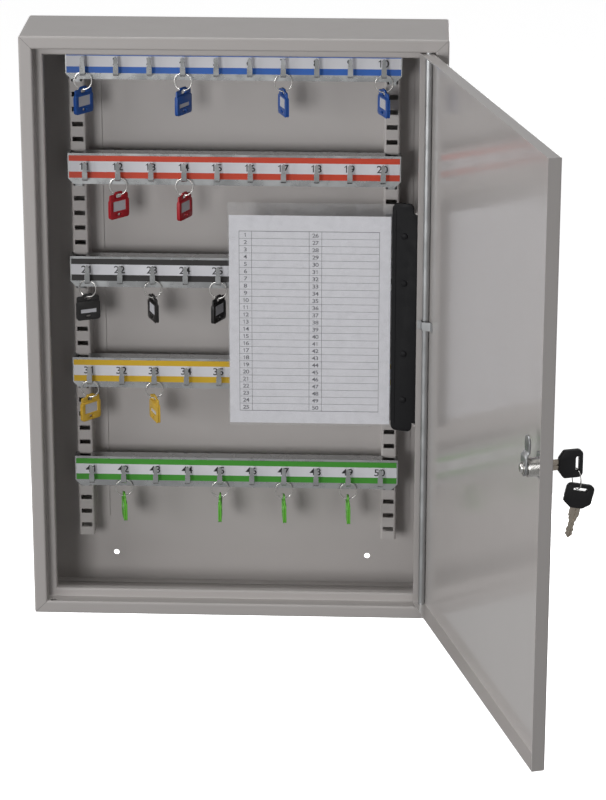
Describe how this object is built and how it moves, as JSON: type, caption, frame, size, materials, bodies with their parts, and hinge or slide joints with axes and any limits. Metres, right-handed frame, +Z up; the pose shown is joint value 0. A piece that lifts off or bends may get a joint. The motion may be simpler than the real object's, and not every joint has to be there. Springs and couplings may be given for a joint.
{
  "type": "wall key cabinet",
  "caption": "Wall-mounted steel key cabinet with a hinged locking door, rows of numbered hooks with coloured key tags and a swinging index pocket.",
  "frame": {"origin": "centre of the casing's rear face, which lies on the wall", "axes": "+X to the right as seen from the front, +Y into the wall, +Z up"},
  "size_m": [0.5011, 0.4128, 0.554],
  "materials": {
    "casing": "semi-gloss light grey powder paint",
    "zinc": "bright zinc plate",
    "steel": "polished nickel plate",
    "label": "printed strips with coloured edges",
    "black_plastic": "moulded black",
    "clear_plastic": "clear film",
    "paper": "printed card",
    "tag_blue": "moulded blue",
    "tag_red": "moulded red",
    "tag_black": "moulded black",
    "tag_yellow": "moulded yellow",
    "tag_green": "moulded green"
  },
  "bodies": {
    "cabinet": {"casing": "casing", "back_panel": "casing", "upright_left": "casing", "upright_right": "casing", "key_bar_1": "zinc", "key_bar_2": "zinc", "key_bar_3": "zinc", "key_bar_4": "zinc", "key_bar_5": "zinc", "number_strips": "label", "hinge_rod": "zinc", "index_ears": "casing", "index_pins": "zinc"},
    "door": {"door_panel": "casing", "hinge_clip": "zinc", "lock_barrel": "steel", "lock_nut": "zinc"},
    "lock_rotor": {"lock_plug": "steel", "lock_cam": "zinc", "cam_washer": "zinc", "cam_screw": "zinc"},
    "key": {"key_blade": "steel", "key_bow": "black_plastic"},
    "key_loop": {"key_ring": "steel"},
    "spare_key": {"spare_key_blade": "steel", "spare_key_bow": "black_plastic"},
    "index": {"index_strip": "black_plastic", "index_rivets": "black_plastic", "index_sleeve": "clear_plastic", "index_sheet": "paper"},
    "hanging_ring_01": {"ring_01": "steel"},
    "hanging_tag_01": {"tag_01": "tag_blue"},
    "hanging_ring_04": {"ring_04": "steel"},
    "hanging_tag_04": {"tag_04": "tag_blue"},
    "hanging_ring_07": {"ring_07": "steel"},
    "hanging_tag_07": {"tag_07": "tag_blue"},
    "hanging_ring_10": {"ring_10": "steel"},
    "hanging_tag_10": {"tag_10": "tag_blue"},
    "hanging_ring_12": {"ring_12": "steel"},
    "hanging_tag_12": {"tag_12": "tag_red"},
    "hanging_ring_14": {"ring_14": "steel"},
    "hanging_tag_14": {"tag_14": "tag_red"},
    "hanging_ring_21": {"ring_21": "steel"},
    "hanging_tag_21": {"tag_21": "tag_black"},
    "hanging_ring_23": {"ring_23": "steel"},
    "hanging_tag_23": {"tag_23": "tag_black"},
    "hanging_ring_25": {"ring_25": "steel"},
    "hanging_tag_25": {"tag_25": "tag_black"},
    "hanging_ring_31": {"ring_31": "steel"},
    "hanging_tag_31": {"tag_31": "tag_yellow"},
    "hanging_ring_33": {"ring_33": "steel"},
    "hanging_tag_33": {"tag_33": "tag_yellow"},
    "hanging_ring_42": {"ring_42": "steel"},
    "hanging_tag_42": {"tag_42": "tag_green"},
    "hanging_ring_45": {"ring_45": "steel"},
    "hanging_tag_45": {"tag_45": "tag_green"},
    "hanging_ring_47": {"ring_47": "steel"},
    "hanging_tag_47": {"tag_47": "tag_green"},
    "hanging_ring_49": {"ring_49": "steel"},
    "hanging_tag_49": {"tag_49": "tag_green"}
  },
  "joints": [
    {"name": "door_open", "type": "hinge", "parent": "cabinet", "child": "door", "pos_m": [0.17233, -0.0758, 0], "axis": [0, 0, 1], "range_deg": [-106.5, 2]},
    {"name": "lock_turn", "type": "hinge", "parent": "door", "child": "lock_rotor", "pos_m": [0.26989, -0.39038, 0], "axis": [0.9588, 0.284, 0], "range_deg": [0, 90]},
    {"name": "key_pull", "type": "slide", "parent": "lock_rotor", "child": "key", "axis": [0.9588, 0.284, 0], "range_m": [0, 0.026]},
    {"name": "key_ring_swing", "type": "hinge", "parent": "key", "child": "key_loop", "pos_m": [0.29569, -0.38274, -0.00493], "axis": [0.284, -0.9588, 0], "range_deg": [-8, 8]},
    {"name": "spare_key_swing", "type": "hinge", "parent": "key_loop", "child": "spare_key", "pos_m": [0.29569, -0.38274, -0.02233], "axis": [0.284, -0.9588, 0], "range_deg": [-8, 20]},
    {"name": "index_swing", "type": "hinge", "parent": "cabinet", "child": "index", "pos_m": [0.1663, -0.0626, 0.012], "axis": [0, 0, 1], "range_deg": [0, 75]},
    {"name": "ring_swing_01", "type": "hinge", "parent": "cabinet", "child": "hanging_ring_01", "pos_m": [-0.1375, -0.0415, 0.23502], "axis": [1, 0, 0], "range_deg": [-20, 3]},
    {"name": "tag_swing_01", "type": "hinge", "parent": "hanging_ring_01", "child": "hanging_tag_01", "pos_m": [-0.1375, -0.0415, 0.21922], "axis": [0.9976, -0.0698, 0], "range_deg": [-12, 12]},
    {"name": "ring_swing_04", "type": "hinge", "parent": "cabinet", "child": "hanging_ring_04", "pos_m": [-0.0475, -0.0415, 0.23502], "axis": [1, 0, 0], "range_deg": [-20, 3]},
    {"name": "tag_swing_04", "type": "hinge", "parent": "hanging_ring_04", "child": "hanging_tag_04", "pos_m": [-0.0475, -0.0415, 0.21922], "axis": [0.9848, -0.1736, 0], "range_deg": [-12, 12]},
    {"name": "ring_swing_07", "type": "hinge", "parent": "cabinet", "child": "hanging_ring_07", "pos_m": [0.0425, -0.0415, 0.23502], "axis": [1, 0, 0], "range_deg": [-20, 3]},
    {"name": "tag_swing_07", "type": "hinge", "parent": "hanging_ring_07", "child": "hanging_tag_07", "pos_m": [0.0425, -0.0415, 0.21922], "axis": [0.9903, 0.1392, 0], "range_deg": [-12, 12]},
    {"name": "ring_swing_10", "type": "hinge", "parent": "cabinet", "child": "hanging_ring_10", "pos_m": [0.1325, -0.0415, 0.23502], "axis": [1, 0, 0], "range_deg": [-20, 3]},
    {"name": "tag_swing_10", "type": "hinge", "parent": "hanging_ring_10", "child": "hanging_tag_10", "pos_m": [0.1325, -0.0415, 0.21922], "axis": [0.9903, 0.1392, 0], "range_deg": [-12, 12]},
    {"name": "ring_swing_12", "type": "hinge", "parent": "cabinet", "child": "hanging_ring_12", "pos_m": [-0.1075, -0.0415, 0.13702], "axis": [1, 0, 0], "range_deg": [-20, 3]},
    {"name": "tag_swing_12", "type": "hinge", "parent": "hanging_ring_12", "child": "hanging_tag_12", "pos_m": [-0.1075, -0.0415, 0.12122], "axis": [0.9976, 0.0698, 0], "range_deg": [-12, 12]},
    {"name": "ring_swing_14", "type": "hinge", "parent": "cabinet", "child": "hanging_ring_14", "pos_m": [-0.0475, -0.0415, 0.13702], "axis": [1, 0, 0], "range_deg": [-20, 3]},
    {"name": "tag_swing_14", "type": "hinge", "parent": "hanging_ring_14", "child": "hanging_tag_14", "pos_m": [-0.0475, -0.0415, 0.12122], "axis": [0.9903, -0.1392, 0], "range_deg": [-12, 12]},
    {"name": "ring_swing_21", "type": "hinge", "parent": "cabinet", "child": "hanging_ring_21", "pos_m": [-0.1375, -0.0415, 0.03902], "axis": [1, 0, 0], "range_deg": [-6, 3]},
    {"name": "tag_swing_21", "type": "hinge", "parent": "hanging_ring_21", "child": "hanging_tag_21", "pos_m": [-0.1375, -0.0415, 0.02322], "axis": [0.9613, -0.2756, 0], "range_deg": [-6, 6]},
    {"name": "ring_swing_23", "type": "hinge", "parent": "cabinet", "child": "hanging_ring_23", "pos_m": [-0.0775, -0.0415, 0.03902], "axis": [1, 0, 0], "range_deg": [-20, 3]},
    {"name": "tag_swing_23", "type": "hinge", "parent": "hanging_ring_23", "child": "hanging_tag_23", "pos_m": [-0.0775, -0.0415, 0.02322], "axis": [0.9848, 0.1736, 0], "range_deg": [-12, 12]},
    {"name": "ring_swing_25", "type": "hinge", "parent": "cabinet", "child": "hanging_ring_25", "pos_m": [-0.0175, -0.0415, 0.03902], "axis": [1, 0, 0], "range_deg": [-20, 3]},
    {"name": "tag_swing_25", "type": "hinge", "parent": "hanging_ring_25", "child": "hanging_tag_25", "pos_m": [-0.0175, -0.0415, 0.02322], "axis": [0.9903, -0.1392, 0], "range_deg": [-12, 12]},
    {"name": "ring_swing_31", "type": "hinge", "parent": "cabinet", "child": "hanging_ring_31", "pos_m": [-0.1375, -0.0415, -0.05898], "axis": [1, 0, 0], "range_deg": [-20, 3]},
    {"name": "tag_swing_31", "type": "hinge", "parent": "hanging_ring_31", "child": "hanging_tag_31", "pos_m": [-0.1375, -0.0415, -0.07478], "axis": [0.9976, -0.0698, 0], "range_deg": [-12, 12]},
    {"name": "ring_swing_33", "type": "hinge", "parent": "cabinet", "child": "hanging_ring_33", "pos_m": [-0.0775, -0.0415, -0.05898], "axis": [1, 0, 0], "range_deg": [-20, 3]},
    {"name": "tag_swing_33", "type": "hinge", "parent": "hanging_ring_33", "child": "hanging_tag_33", "pos_m": [-0.0775, -0.0415, -0.07478], "axis": [0.9903, 0.1392, 0], "range_deg": [-12, 12]},
    {"name": "ring_swing_42", "type": "hinge", "parent": "cabinet", "child": "hanging_ring_42", "pos_m": [-0.1075, -0.0415, -0.15698], "axis": [1, 0, 0], "range_deg": [-20, 3]},
    {"name": "tag_swing_42", "type": "hinge", "parent": "hanging_ring_42", "child": "hanging_tag_42", "pos_m": [-0.1075, -0.0415, -0.17278], "axis": [0.9903, 0.1392, 0], "range_deg": [-12, 12]},
    {"name": "ring_swing_45", "type": "hinge", "parent": "cabinet", "child": "hanging_ring_45", "pos_m": [-0.0175, -0.0415, -0.15698], "axis": [1, 0, 0], "range_deg": [-20, 3]},
    {"name": "tag_swing_45", "type": "hinge", "parent": "hanging_ring_45", "child": "hanging_tag_45", "pos_m": [-0.0175, -0.0415, -0.17278], "axis": [0.9976, 0.0698, 0], "range_deg": [-12, 12]},
    {"name": "ring_swing_47", "type": "hinge", "parent": "cabinet", "child": "hanging_ring_47", "pos_m": [0.0425, -0.0415, -0.15698], "axis": [1, 0, 0], "range_deg": [-20, 3]},
    {"name": "tag_swing_47", "type": "hinge", "parent": "hanging_ring_47", "child": "hanging_tag_47", "pos_m": [0.0425, -0.0415, -0.17278], "axis": [0.9945, 0.1045, 0], "range_deg": [-12, 12]},
    {"name": "ring_swing_49", "type": "hinge", "parent": "cabinet", "child": "hanging_ring_49", "pos_m": [0.1025, -0.0415, -0.15698], "axis": [1, 0, 0], "range_deg": [-20, 3]},
    {"name": "tag_swing_49", "type": "hinge", "parent": "hanging_ring_49", "child": "hanging_tag_49", "pos_m": [0.1025, -0.0415, -0.17278], "axis": [0.9962, 0.0872, 0], "range_deg": [-12, 12]}
  ]
}
